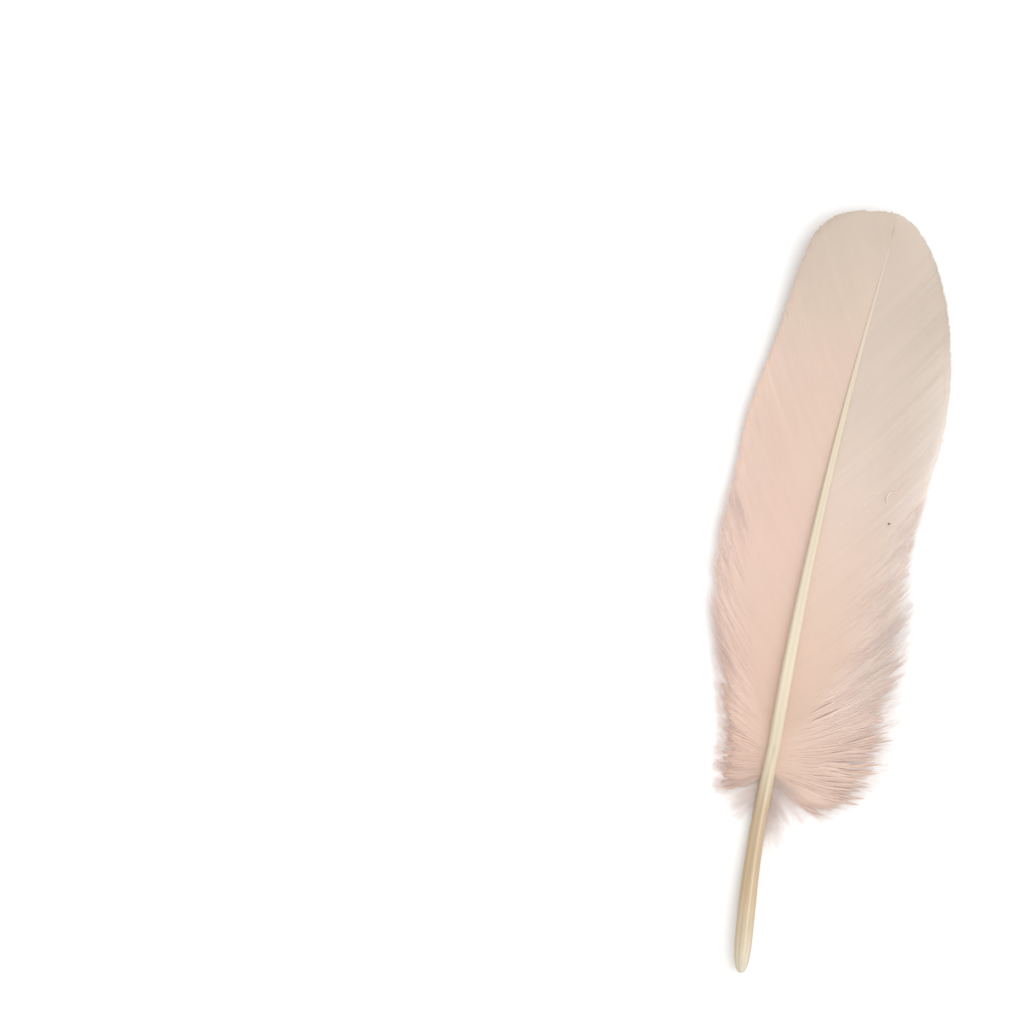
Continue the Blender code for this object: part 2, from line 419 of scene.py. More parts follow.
@dataclass(frozen=True)
class HornFinish:
    """The shaft: cream pith-filled rachis, a clearer, browner, streaked quill, and painted shade at its
    sides.

    Each pair of shares is what the rachis has, and what the clear quill has on top of it. Places
    across run from -1 at the left side to 1 at the right one.
    """

    stops: Stops = ramp(
        (0, 236, 226, 202), (7, 232, 216, 190), (20, 214, 187, 152), (40, 209, 184, 154),
        (49, 228, 213, 186), (60, 231, 218, 192), (75, 239, 226, 201), (110, 234, 221, 197),
        (140, 230, 214, 190), (160, 227, 211, 192), (178, 221, 204, 189),
    )
    light: float = 0.76
    rim_shade: Rgb = linear(200, 172, 134)
    streak: Rgb = linear(178, 158, 128)
    glint: Rgb = linear(244, 234, 208)
    band: Rgb = linear(168, 150, 118)
    glint_share: float = 0.5
    glint_right: float = 0.22
    glint_narrowness: float = 5.0
    band_share: float = 0.34
    band_left: float = 0.2
    band_narrowness: float = 3.4
    clear_to: float = 44 * MM
    pith_from: float = 56 * MM
    length: float = 183.4 * MM
    grain_scale: float = 1500.0
    grain_stretch: Rgb = (1.0, 0.02, 1.0)
    grain_levels: tuple[float, float] = (0.5, 0.75)
    grain_share: float = 0.4
    grain_strength: float = 0.2
    grain_depth: float = 0.05 * MM
    streaks_across: float = 3.2
    streaks_along: float = 16.0
    streaks_seed: float = 4.0
    streak_levels: tuple[float, float] = (0.46, 0.6)
    streak_contrast: float = 0.5
    streak_shares: tuple[float, float] = (0.12, 0.6)
    patch_scale: float = 1.7
    patch_levels: tuple[float, float] = (0.35, 0.6)
    rim_shade_from: float = 0.5
    rim_shade_shares: tuple[float, float] = (0.06, 0.6)
    blotch_scale: float = 160.0
    blotch_stretch: Rgb = (1.0, 0.4, 1.0)
    blotch_contrast: float = 0.16
    roughness: float = 0.4
    coat: float = 0.1
    coat_roughness: float = 0.3
    specular: float = 0.3

    def make(self, origin: Vector) -> bpy.types.Material:
        """Makes the material.

        Args:
            origin: The quill's end in the row frame.

        Returns:
            The material.
        """
        m = Material("horn")
        where, row_y = m.coordinate()
        along = row_y - origin.y
        stops = [(y * MM / self.length, colour) for y, colour in self.stops]
        horn = m.add("ShaderNodeValToRGB", {"stops": stops}, {0: along / self.length})
        clear = 1.0 - along.between(self.clear_to, self.pith_from)
        across = m.attribute("across")
        sides = {0: across * self.streaks_across, 1: along * self.streaks_along, 2: self.streaks_seed}
        place = m.add("ShaderNodeCombineXYZ", sockets=sides)
        grain = m.noise(where, self.grain_scale, 3.0, self.grain_stretch)
        fine = grain.between(*self.grain_levels) * self.grain_share
        broad = m.noise(place, 1.0, 2.0).between(*self.streak_levels)
        streaks = (fine + broad) * self.streak_contrast
        least, more = self.streak_shares
        colour = m.mix(streaks * (least + clear * more), horn, self.streak)
        patchy = m.noise(place, self.patch_scale, 2.0).between(*self.patch_levels)
        pale = 1.0 - (across - self.glint_right).absolute() * self.glint_narrowness
        pale = pale.at_least(0.0) * patchy
        colour = m.mix(pale * clear * self.glint_share, colour, self.glint)
        dark = 1.0 - (across + self.band_left).absolute() * self.band_narrowness
        dark = dark.at_least(0.0) * patchy
        colour = m.mix(dark * clear * self.band_share, colour, self.band)
        # Painted shade: darker along both sides of the shaft, most on the clear quill, for the shade of
        # its rounded sides.
        least, more = self.rim_shade_shares
        side = across.absolute().between(self.rim_shade_from, 1.0) ** 2.0 * (least + clear * more)
        colour = m.mix(side, colour, self.rim_shade)
        blotch = m.noise(where, self.blotch_scale, 3.0, self.blotch_stretch) - 0.5
        light = self.light + blotch * (clear * self.blotch_contrast)
        sockets = {
            "Base Color": m.brighten(colour, light),
            "Roughness": self.roughness,
            "Normal": m.bump(grain, self.grain_strength, self.grain_depth),
            "Coat Weight": self.coat,
            "Coat Roughness": self.coat_roughness,
            "Specular IOR Level": self.specular,
        }
        return m.finish(sockets)


@dataclass(frozen=True)
class SpeckFinish:
    """A crumb of dark bark."""

    dark: Rgb = linear(92, 74, 64)
    light: Rgb = linear(146, 120, 103)
    grain_scale: float = 4000.0
    roughness: float = 0.85

    def make(self) -> bpy.types.Material:
        """Makes the material.

        Returns:
            The material.
        """
        m = Material("crumb")
        where, _ = m.coordinate()
        colour = m.mix(m.noise(where, self.grain_scale), self.dark, self.light)
        return m.finish({"Base Color": colour, "Roughness": self.roughness})


@dataclass(frozen=True)
class FloorFinish:
    """A plain pale table top."""

    colour: Rgb = (0.9, 0.9, 0.9)
    grain_scale: float = 600.0
    grain_contrast: float = 0.01
    roughness: float = 0.9

    def make(self) -> bpy.types.Material:
        """Makes the material.

        Returns:
            The material.
        """
        m = Material("pale_floor")
        where, _ = m.coordinate()
        grain = m.noise(where, self.grain_scale) - 0.5
        colour = m.brighten(self.colour, 1.0 + grain * self.grain_contrast)
        return m.finish({"Base Color": colour, "Roughness": self.roughness})


# The feather's plan


@dataclass(frozen=True)
class Stations:
    """A smooth curve through pairs of a plan Y in millimetres and a value."""

    pairs: tuple[tuple[float, float], ...]

    def at(self, y: Array | float) -> Array:
        """Values of the curve, held beyond its ends.

        Args:
            y: Plan Y in metres.

        Returns:
            The values, in the unit of the pairs.
        """
        xs, ys = np.array(self.pairs, float).T
        step = np.diff(xs)
        chord = np.diff(ys) / step
        before, after = chord[:-1], chord[1:]
        total = np.where(before * after > 0, before + after, 1.0)
        inner = np.where(before * after > 0, 2 * before * after / total, 0.0)
        slope = np.concatenate([chord[:1], inner, chord[-1:]])
        place = np.clip(np.asarray(y, float) / MM, xs[0], xs[-1])
        i = np.clip(np.searchsorted(xs, place) - 1, 0, len(step) - 1)
        t = (place - xs[i]) / step[i]
        start = (1 + 2 * t) * (1 - t) ** 2 * ys[i] + t * (1 - t) ** 2 * step[i] * slope[i]
        end = t * t * (3 - 2 * t) * ys[i + 1] + t * t * (t - 1) * step[i] * slope[i + 1]
        return start + end


@dataclass(frozen=True)
class Shoulder:
    """How one side of the tip is rounded off."""

    start: float
    sharpness: float
    power: float


@dataclass(frozen=True)
class Plan:
    """The feather's plan and how it lies, from the same sizes as its solid."""

    length: float = 188.8 * MM
    shaft_length: float = 183.4 * MM
    last_barb: float = 184.6 * MM
    shaft_bow: float = 3.6 * MM
    quill_bend: float = 0.9 * MM
    quill_length: float = 56.0 * MM
    tip_lift: float = 5.5 * MM
    quill_lift: float = 1.8 * MM
    lie_from: float = 60.0 * MM
    lie_to: float = 124.0 * MM
    flat_half_width: float = 7.0 * MM
    edge_distance: float = 24.0 * MM
    edge_lifts: dict[Side, float] = field(
        default_factory=lambda: {Side.LEFT: 3.2 * MM, Side.RIGHT: 2.4 * MM}
    )
    turning_run: float = 36.0 * MM
    end_angle_share: float = 0.74
    root_angles: Stations = Stations(
        (
            (47, 128), (50, 108), (53, 86), (56, 69), (60, 58), (66, 51), (76, 47), (90, 44),
            (110, 41), (140, 38), (160, 33), (174, 24), (184.6, 0),
        )
    )
    zipped: Stations = Stations(
        ((47, 0.92), (54, 0.92), (60, 0.925), (70, 0.945), (82, 0.965), (94, 0.985), (112, 1))
    )
    widths: dict[Side, Stations] = field(
        default_factory=lambda: {
            Side.LEFT: Stations(
                (
                    (36, 0.5), (39, 8), (45, 12), (56, 13.5), (69, 16.8), (78, 19.6), (88, 22.2),
                    (107, 24), (120, 23.3), (133, 23.3), (152, 21.2), (170, 20.1), (189, 18.6),
                )
            ),
            Side.RIGHT: Stations(
                (
                    (35, 0.5), (38, 11), (44, 21.5), (52, 27.2), (59, 28.4), (66, 28.6), (84, 28.2),
                    (97, 26.6), (106, 24.7), (126, 24.7), (138, 25), (189, 25),
                )
            ),
        }
    )
    shoulders: dict[Side, Shoulder] = field(
        default_factory=lambda: {
            Side.LEFT: Shoulder(130.0 * MM, 16.0, 0.5),
            Side.RIGHT: Shoulder(135.0 * MM, 1.8, 0.61),
        }
    )

    def shaft_x(self, y: Array | float) -> Array:
        """Where the shaft's line lies, left of its chord.

        Args:
            y: Plan Y.

        Returns:
            Plan X of the line.
        """
        y = np.minimum(y, self.shaft_length)
        bow = self.shaft_bow * np.sin(math.pi * y / self.shaft_length)
        bend = self.quill_bend * np.sin(math.pi * np.minimum(y, self.quill_length) / self.quill_length)
        return -bow - bend

    def lift(self, y: Array | float) -> Array:
        """Height of the feather's underside on the shaft's line.

        Args:
            y: Plan Y.

        Returns:
            The height over the surface.
        """
        behind = np.maximum(0.0, self.lie_from - y) / self.lie_from
        ahead = np.maximum(0.0, np.asarray(y) - self.lie_to) / (self.length - self.lie_to)
        return self.quill_lift * behind**2 + self.tip_lift * ahead**2

    def underside(self, side: Side, out: Array, y: Array) -> Array:
        """Height of a vane's underside.

        Args:
            side: The vane.
            out: Distance from the shaft's line.
            y: Plan Y.

        Returns:
            The height over the surface.
        """
        beyond = np.maximum(0.0, out - self.flat_half_width)
        share = beyond / (self.edge_distance - self.flat_half_width)
        return self.lift(y) + self.edge_lifts[side] * share**2

    def half_width(self, side: Side, y: Array) -> Array:
        """Distance from the shaft's line to the feather's edge.

        Args:
            side: The vane.
            y: Plan Y.

        Returns:
            The distance.
        """
        shoulder = self.shoulders[side]
        up = np.clip((y - shoulder.start) / (self.length - shoulder.start), 0.0, 1.0)
        rounding = (1 - up**shoulder.sharpness) ** shoulder.power
        return self.widths[side].at(y) * MM * rounding

    def offset(self, root: Array, run: Array, sweep: float | None = None) -> tuple[Array, Array]:
        """Where barbs go.

        Args:
            root: Plan Y of their roots.
            run: Length along them.
            sweep: Share of its first angle that a barb ends at, or the plan's own.

        Returns:
            Distance out from the shaft, and forward from the root.
        """
        start = np.radians(np.maximum(self.root_angles.at(root), 1e-4))
        bend = start * ((sweep or self.end_angle_share) - 1) / self.turning_run
        angle = start + bend * run
        out = (np.cos(start) - np.cos(angle)) / bend
        forward = (np.sin(angle) - np.sin(start)) / bend
        return out, forward

    def barb_lengths(self, side: Side, roots: Array) -> Array:
        """How far barbs run before they meet the feather's outline.

        Args:
            side: The vane.
            roots: Plan Y of their roots, as a column.

        Returns:
            Their lengths, as a column.
        """
        runs = np.arange(1, 240) * (0.25 * MM)
        out, forward = self.offset(roots, runs)
        y = roots + forward
        outside = (y >= self.length) | (out >= self.half_width(side, y))
        outside[:, -1] = True
        return runs[outside.argmax(axis=1)][:, None]


# Barbs as lines, and the trees that give them their bodies


def random_source(name: str) -> np.random.Generator:
    """A source of random numbers that depends only on the piece's name."""
    return np.random.default_rng(sum(ord(letter) * (i + 1) for i, letter in enumerate(name)))


def wander(source: np.random.Generator, count: int, *waves: tuple[float, float]) -> Array:
    """Smooth random values along a row of barbs.

    Args:
        source: The random numbers.
        count: How many barbs.
        waves: The size of each set of lumps, and its barbs from one lump to the next.

    Returns:
        One value a barb, as a column, mostly within the sizes' sum.
    """
    total = np.zeros((count, 1))
    for size, spacing in waves:
        knots = source.normal(0.0, 0.6, int(count / spacing) + 3)
        place = np.arange(count) / spacing
        i = place.astype(int)
        t = place - i
        t = t * t * (3 - 2 * t)
        total += size * (knots[i] * (1 - t) + knots[i + 1] * t)[:, None]
    return total


def fade(value: Array, start: float, end: float, least: float = 0.0) -> Array:
    """How far values are from a start to an end, from the least to 1."""
    return np.clip((value - start) / (end - start), least, 1)


def add_object(name: str, data: bpy.types.ID) -> bpy.types.Object:
    """Adds an object to the scene.

    Args:
        name: The object's name.
        data: Its mesh, light or camera.

    Returns:
        The object.
    """
    obj = bpy.data.objects.new(name, data)
    bpy.context.scene.collection.objects.link(obj)
    return obj


def store(mesh: bpy.types.Mesh, values: dict[str, Array], shape: tuple[int, int]) -> None:
    """Stores numbers on a mesh's points.

    Args:
        mesh: The mesh.
        values: The numbers, by name.
        shape: How many rows of points, and points in a row.
    """
    for name, value in values.items():
        column = np.broadcast_to(value, shape).astype(np.float32)
        mesh.attributes.new(name, "FLOAT", "POINT").data.foreach_set("value", column.ravel())


@dataclass
class Lines:
    """Barbs as lines of equal count of points, with a value for each point under each name."""

    points: Array
    values: dict[str, Array]

    def host(self, name: str) -> bpy.types.Object:
        """An object whose mesh holds the lines as edges.

        Args:
            name: The object's name.

        Returns:
            The object, which a tree then turns into a piece.
        """
        barbs, count, _ = self.points.shape
        index = np.arange(barbs * count).reshape(barbs, count)
        edges = np.stack([index[:, :-1], index[:, 1:]], axis=-1).reshape(-1, 2)
        mesh = bpy.data.meshes.new(name)
        mesh.vertices.add(barbs * count)
        mesh.vertices.foreach_set("co", self.points.astype(np.float32).ravel())
        mesh.edges.add(len(edges))
        mesh.edges.foreach_set("vertices", edges.astype(np.int32).ravel())
        store(mesh, self.values, (barbs, count))
        mesh.update()
        return add_object(name, mesh)


class GrowthTree(Tree):
    """A Geometry Nodes tree with a geometry input, a geometry output and named size inputs."""

    def __init__(self, name: str, sizes: tuple[str, ...]) -> None:
        """Makes the tree with its inputs and its output.

        Args:
            name: The tree's name.
            sizes: Names of the inputs that take a number, which is whole for Seed.
        """
        group = bpy.data.node_groups.new(name, "GeometryNodeTree")
        super().__init__(group)
        group.interface.new_socket("Geometry", in_out="OUTPUT", socket_type="NodeSocketGeometry")
        self.identifiers: dict[str, str] = {}
        self.declare("Geometry", "NodeSocketGeometry")
        for size in sizes:
            self.declare(size, "NodeSocketInt" if size == "Seed" else "NodeSocketFloat")
        self.declare("Material", "NodeSocketMaterial")
        self.entry = self.tree.nodes.new("NodeGroupInput")

    def declare(self, name: str, kind: str) -> None:
        """Adds a named input."""
        item = self.tree.interface.new_socket(name, in_out="INPUT", socket_type=kind)
        self.identifiers[name] = item.identifier

    def given(self, name: str) -> Sock:
        """The value of a named input."""
        return Sock(self, self.entry.outputs[name])

    def named(self, name: str) -> Sock:
        """A number stored on the points under that name."""
        return self.add("GeometryNodeInputNamedAttribute", {"data_type": "FLOAT"}, {"Name": name})

    def curves(self) -> Sock:
        """The lines as curves whose normals stand upright."""
        curve = self.add("GeometryNodeMeshToCurve", sockets={0: self.given("Geometry")})
        return self.add("GeometryNodeSetCurveNormal", {"mode": "Z_UP"}, {0: curve})

    def outline(self, corners: int) -> Sock:
        """A profile one unit across."""
        sockets = {"Resolution": corners, "Radius": 0.5}
        return self.add("GeometryNodeCurvePrimitiveCircle", sockets=sockets)

    def sweep(self, curve: Sock, outline: Sock, scale: Sock, caps: bool = True) -> Sock:
        """Runs a profile along curves.

        Args:
            curve: The curves.
            outline: The profile.
            scale: Its size at each point.
            caps: Whether the ends are filled.

        Returns:
            The bodies.
        """
        sockets = {"Curve": curve, "Profile Curve": outline, "Scale": scale, "Fill Caps": caps}
        return self.add("GeometryNodeCurveToMesh", sockets=sockets)

    def close(self, geometry: Sock) -> None:
        """Realizes what the tree made, gives it its material and sends it out.

        Args:
            geometry: What the tree made.
        """
        real = self.add("GeometryNodeRealizeInstances", sockets={0: geometry})
        sockets = {"Geometry": real, "Material": self.given("Material")}
        dressed = self.add("GeometryNodeSetMaterial", sockets=sockets)
        leave = self.tree.nodes.new("NodeGroupOutput")
        self.connect(leave.inputs["Geometry"], dressed)

    def grow(self, lines: Lines, name: str, inputs: dict[str, object]) -> bpy.types.Object:
        """Runs the tree on lines.

        Args:
            lines: The barbs.
            name: Name of the piece.
            inputs: Values of the named inputs.

        Returns:
            The piece, as a plain mesh with no modifier.
        """
        host = lines.host(f"{name}_lines")
        modifier = host.modifiers.new("grow", "NODES")
        modifier.node_group = self.tree
        for key, value in inputs.items():
            modifier[self.identifiers[key]] = value
        graph = bpy.context.evaluated_depsgraph_get()
        mesh = bpy.data.meshes.new_from_object(host.evaluated_get(graph))
        mesh.name = name
        mesh.materials.clear()
        mesh.materials.append(inputs["Material"])
        mesh.polygons.foreach_set("material_index", np.zeros(len(mesh.polygons), np.int32))
        host.modifiers.remove(modifier)
        bpy.data.objects.remove(host)
        return add_object(name, mesh)


def ribbon_tree() -> GrowthTree:
    """The tree that gives zipped barbs their flat, slightly tilted bodies.

    Returns:
        The tree.
    """
    tree = GrowthTree("zipped_barb_bodies", ("Flatness", "Tilt"))
    sockets = {"Curve": tree.curves(), "Tilt": tree.given("Tilt")}
    curve = tree.add("GeometryNodeSetCurveTilt", sockets=sockets)
    size = tree.add("ShaderNodeCombineXYZ", sockets={0: 1.0, 1: tree.given("Flatness"), 2: 1.0})
    sockets = {"Geometry": tree.outline(4), "Scale": size}
    outline = tree.add("GeometryNodeTransform", sockets=sockets)
    factor = tree.add("GeometryNodeSplineParameter")
    sockets = {"Geometry": outline, "Name": "around", "Value": factor}
    outline = tree.add("GeometryNodeStoreNamedAttribute", {"data_type": "FLOAT"}, sockets)
    tree.close(tree.sweep(curve, outline, tree.named("width")))
    return tree


def barbule_shape(tree: GrowthTree, outline: Sock) -> Sock:
    """One fine curved barbule of unit length.

    Args:
        tree: The tree that it is made in.
        outline: Its profile.

    Returns:
        The barbule, to be placed many times.
    """
    ends = {"Start": (0, 0, 0), "End": (0.93, 0, 0.36)}
    spine = tree.add("GeometryNodeCurvePrimitiveLine", sockets=ends)
    spine = tree.add("GeometryNodeResampleCurve", sockets={"Curve": spine, "Count": 3})
    factor = tree.add("GeometryNodeSplineParameter")
    bulge = factor * (1.0 - factor) * 4.0
    bend = tree.add("ShaderNodeCombineXYZ", sockets={0: bulge * 0.04, 1: 0.0, 2: bulge * -0.1})
    spine = tree.add("GeometryNodeSetPosition", sockets={"Geometry": spine, "Offset": bend})
    body = tree.sweep(spine, outline, bulge * tree.given("Thickness"), caps=False)
    sockets = {"Geometry": body, "Distance": 1e-5}
    return tree.add("GeometryNodeMergeByDistance", sockets=sockets)


def fluff_tree() -> GrowthTree:
    """The tree that gives loose barbs a thin body and rows of fine curved barbules.

    Returns:
        The tree.
    """
    sizes = ("Spacing", "Forward", "Spread", "Thickness", "Seed")
    tree = GrowthTree("loose_barb_bodies", sizes)
    curve = tree.curves()
    outline = tree.outline(3)
    stems = tree.sweep(curve, outline, tree.named("width"))
    barbule = barbule_shape(tree, outline)
    sockets = {"Curve": curve, "Length": tree.given("Spacing")}
    points = tree.add("GeometryNodeCurveToPoints", {"mode": "LENGTH"}, sockets)
    frames = Sock(tree, points.socket.node.outputs["Rotation"])

    def random(low: Value, high: Value, seed: int) -> Sock:
        """A random number for each barbule."""
        wanted = {2: low, 3: high, "Seed": tree.given("Seed") + float(seed)}
        return tree.add("FunctionNodeRandomValue", {"data_type": "FLOAT"}, wanted, out=1)

    half_turn = tree.add("GeometryNodeInputIndex") % 2.0 * math.pi
    spread = tree.given("Spread")
    swing = half_turn + random(0.0 - spread, spread, 1)
    forward = tree.given("Forward") * random(0.6, 1.3, 2)
    euler = tree.add("ShaderNodeCombineXYZ", sockets={0: 0.0, 1: 0.0 - forward, 2: swing})
    turn = tree.add("FunctionNodeEulerToRotation", sockets={0: euler})
    sockets = {"Rotation": frames, "Rotate By": turn}
    rotation = tree.add("FunctionNodeRotateRotation", {"rotation_space": "LOCAL"}, sockets)
    length = tree.named("fuzz") * random(0.6, 1.2, 3)
    scale = tree.add("ShaderNodeCombineXYZ", sockets={0: length, 1: length, 2: length})
    sockets = {"Points": points, "Instance": barbule, "Rotation": rotation, "Scale": scale}
    barbules = tree.add("GeometryNodeInstanceOnPoints", sockets=sockets)

    both = tree.add("GeometryNodeJoinGeometry", sockets={0: [stems, barbules]})
    real = tree.add("GeometryNodeRealizeInstances", sockets={0: both})
    place = tree.add("GeometryNodeInputPosition")
    axes = tree.add("ShaderNodeSeparateXYZ", sockets={0: place})
    x, y, z = (Sock(tree, axes.socket.node.outputs[i]) for i in range(3))
    raised = tree.add("ShaderNodeCombineXYZ", sockets={0: x, 1: y, 2: z.at_least(FLOOR_GAP)})
    tree.close(tree.add("GeometryNodeSetPosition", sockets={"Geometry": real, "Position": raised}))
    return tree


# Pieces


@dataclass(frozen=True)
class Split:
    """A slit or notch where neighbouring barbs have come apart."""

    root: float
    from_share: float
    to_share: float
    opening: float
    reach: float = 1.6 * MM


@dataclass
class Feather:
    """What every sub-assembly needs: the plan and where it lies in the row frame."""

    plan: Plan
    origin: Vector

    def place(self, plan_points: Array) -> Array:
        """Plan points in the row frame."""
        return plan_points + np.array(self.origin)

    def solid(
        self, name: str, rings: Array, values: dict[str, Array], material: bpy.types.Material
    ) -> bpy.types.Object:
        """A closed piece over rings of equal count, with both ends filled.

        Args:
            name: The piece's name.
            rings: Plan points as (rings, sides, 3), clockwise as seen from the first ring.
            values: Numbers for each point, by name.
            material: The piece's finish.

        Returns:
            The piece.
        """
        count, sides, _ = rings.shape
        index = np.arange(count * sides).reshape(count, sides)
        turned = np.roll(index, -1, axis=1)
        quads = np.stack([index[:-1], turned[:-1], turned[1:], index[1:]], axis=-1)
        faces = quads.reshape(-1, 4).tolist() + [index[0, ::-1].tolist(), index[-1].tolist()]
        mesh = bpy.data.meshes.new(name)
        mesh.from_pydata(self.place(rings).reshape(-1, 3).tolist(), [], faces)
        store(mesh, values, (count, sides))
        mesh.shade_smooth()
        mesh.update()
        mesh.materials.append(material)
        return add_object(name, mesh)

    def dress(self, piece: bpy.types.Object, slot: Slot) -> bpy.types.Object:
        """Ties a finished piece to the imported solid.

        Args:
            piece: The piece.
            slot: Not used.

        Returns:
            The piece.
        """
        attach(piece, BODY)
        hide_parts(NODE)
        triangles = sum(len(face.vertices) - 2 for face in piece.data.polygons)
        log.info("%s: %d triangles", piece.name, triangles)
        return piece


@dataclass
class Barbs(Feather):
    """A piece that a tree grows from barbs as lines."""

    side: Side = Side.RIGHT
    name: str = "vane"

    def lines(self) -> Lines:
        """The barbs as lines, with the values that the tree and the finish read."""
        raise NotImplementedError

    def inputs(self) -> dict[str, float]:
        """Values of the tree's number inputs."""
        raise NotImplementedError

    def build(
        self, tree: GrowthTree, material: bpy.types.Material, slot: Slot, name: str = ""
    ) -> bpy.types.Object:
        """Builds the piece.

        Args:
            tree: The tree that gives the barbs their bodies.
            material: Their finish.
            slot: The material slot that the finish belongs to.
            name: The piece's name, or none to join the side and the barbs' name.

        Returns:
            The piece.
        """
        inputs = {**self.inputs(), "Material": material}
        name = name or f"{self.side.name.lower()}_{self.name}"
        return self.dress(tree.grow(self.lines(), name, inputs), slot)


@dataclass
class Vane(Barbs):
    """One vane: barbs zipped side by side into a smooth web, loose at their ends near the foot.

    Each pair of a size and a spacing is a row of random lumps, as wander makes them.
    """

    splits: tuple[Split, ...] = ()
    edge_highlight: float = 0.8
    points: int = 24
    first_root: float = 47.8 * MM
    spacings: Stations = Stations(
        ((47.8, 0.11), (56, 0.12), (64, 0.32), (150, 0.32), (176, 0.12), (184.6, 0.1))
    )
    shaft_widths: Stations = Stations(((56, 3.2), (97, 2.55), (130, 1.3), (150, 0.4), (168, 0)))
    foot: tuple[float, float] = (68.0 * MM, 54.0 * MM)
    foot_curl: float = 0.3 * MM
    foot_thinning: float = 0.05
    looseness_gain: float = 12.0
    overlap: float = 1.7
    thinnest: float = 0.36 * MM
    widest: float = 1.5 * MM
    flatness: float = 0.34
    tilt: float = 6.0
    mid_height: float = 0.34 * MM
    edge_height: float = 0.16 * MM
    climb: float = 0.42
    climb_run: float = 1.8 * MM
    ragged: float = 0.1 * MM
    uneven: tuple[float, float] = (0.04, 5.0)
    bites: tuple[float, float] = (0.3 * MM, 4.0)
    bites_fade: tuple[float, float] = (146.0 * MM, 130.0 * MM)
    drifts: tuple[tuple[float, float], ...] = ((0.25 * MM, 9.0), (0.08 * MM, 3.5))
    ripples: tuple[tuple[float, float], ...] = ((0.06 * MM, 14.0), (0.018 * MM, 3.0))
    foot_ripple: tuple[float, float] = (0.2 * MM, 16.0)
    ripple_run: float = 8.0 * MM
    edge_highlight_fade: tuple[float, float] = (140.0 * MM, 100.0 * MM)

    def roots(self) -> Array:
        """Roots of the barbs, closer together where the barbs are finer.

        Returns:
            Plan Y of each, as a column.
        """
        roots = [self.first_root]
        while roots[-1] < self.plan.last_barb:
            roots.append(roots[-1] + float(self.spacings.at(roots[-1])) * MM)
        return np.array(roots[:-1])[:, None]

    def lines(self) -> Lines:
        """The barbs as lines.

        Returns:
            Their points, and their width, shade, looseness and run at each point.
        """
        source = random_source(f"vane {self.side.name}")
        roots = self.roots()
        count = len(roots)
        share = np.linspace(0.0, 1.0, self.points)[None, :]
        looseness = np.clip((1 - self.plan.zipped.at(roots)) * self.looseness_gain, 0, 1)
        foot = fade(roots, *self.foot)
        runs = share * self.lengths(source, roots, looseness, foot)
        out, forward = self.plan.offset(roots, runs)
        y = roots + forward + self.sway(source, foot, share)
        for split in self.splits:
            y = y + self.parted(split, roots, share)
        x = self.plan.shaft_x(y) + self.side.value * out
        z = self.plan.underside(self.side, out, y) + self.web(source, roots, foot, out, share)
        points = np.stack([x, y, np.maximum(z, LINE_GAP)], axis=-1)
        shade = 0.5 + wander(source, count, (0.3, 4.0)) + source.normal(0.0, 0.12, (count, 1))
        values = {
            "width": self.widths(points, looseness),
            "shade": shade,
            "run": runs,
            "reach": share,
            "right": np.array([[float(self.side is Side.RIGHT)]]),
            "loose": self.paleness_and_highlight(roots, looseness, foot, share),
        }
        return Lines(self.place(points), values)

    def lengths(
        self, source: np.random.Generator, roots: Array, looseness: Array, foot: Array
    ) -> Array:
        """How long the barbs are, with their ragged and nibbled ends.

        Args:
            source: The random numbers.
            roots: Plan Y of the roots.
            looseness: How loose each barb's end is.
            foot: How much each barb belongs to the foot.

        Returns:
            Their lengths.
        """
        count = len(roots)
        uneven = wander(source, count, self.uneven) + source.normal(0.0, 0.05, (count, 1))
        short = self.foot_thinning * foot * np.abs(source.normal(0.0, 1.0, (count, 1)))
        share = np.clip(self.plan.zipped.at(roots) + uneven * looseness - short, 0.5, 1.0)
        bites = np.abs(wander(source, count, self.bites)) * fade(roots, *self.bites_fade, 0.15)
        ragged = source.normal(0.0, self.ragged, (count, 1)) - self.ragged
        return self.plan.barb_lengths(self.side, roots) * share + ragged - bites

    def sway(self, source: np.random.Generator, foot: Array, share: Array) -> Array:
        """How far barbs drift along the feather, with a curl at the foot.

        Args:
            source: The random numbers.
            foot: How much each barb belongs to the foot.
            share: Places along the barbs.

        Returns:
            The moves along Y.
        """
        count = len(foot)
        drift = wander(source, count, *self.drifts) * share**2
        phase = wander(source, count, (2.5, 11.0)) + source.normal(0.0, 0.25, (count, 1))
        beats = 1.3 + wander(source, count, (0.5, 12.0))
        curl = np.sin(phase + math.tau * beats * share) - np.sin(phase)
        return drift + self.foot_curl * foot * curl * share

    def web(
        self, source: np.random.Generator, roots: Array, foot: Array, out: Array, share: Array
    ) -> Array:
        """How high barbs run over the vane's underside.

        Args:
            source: The random numbers.
            roots: Plan Y of the roots.
            foot: How much each barb belongs to the foot.
            out: Distances from the shaft.
            share: Places along the barbs.

        Returns:
            The heights.
        """
        count = len(roots)
        ripple = wander(source, count, *self.ripples)
        ripple = ripple + foot * wander(source, count, self.foot_ripple)
        ripple = ripple * np.clip((self.plan.last_barb - roots) / self.ripple_run, 0.05, 1)
        level = self.mid_height + (self.edge_height - self.mid_height) * share
        climb = self.climb * np.exp(-out / self.climb_run) * self.shaft_widths.at(roots) * MM
        return level + climb + ripple * share * (1.2 - share)

    def paleness_and_highlight(self, roots: Array, looseness: Array, foot: Array, share: Array) -> Array:
        """How pale barbs are, 0 to 1: loose ends partly lifted by painted light, a painted edge highlight.

        Args:
            roots: Plan Y of the roots.
            looseness: How loose each barb's end is.
            foot: How much each barb belongs to the foot.
            share: Places along the barbs.

        Returns:
            The paleness.
        """
        loose = looseness * (1 - 0.85 * foot) * np.clip((share - 0.45 * (1 - foot)) / 0.55, 0, 1)
        # Painted highlight: a pale fringe along the vane's outer edge.
        edge = self.edge_highlight * fade(roots, *self.edge_highlight_fade, 0.1) * (1 - 0.7 * foot)
        return np.maximum(loose, edge * fade(share, 0.5, 1.0) ** 1.5)

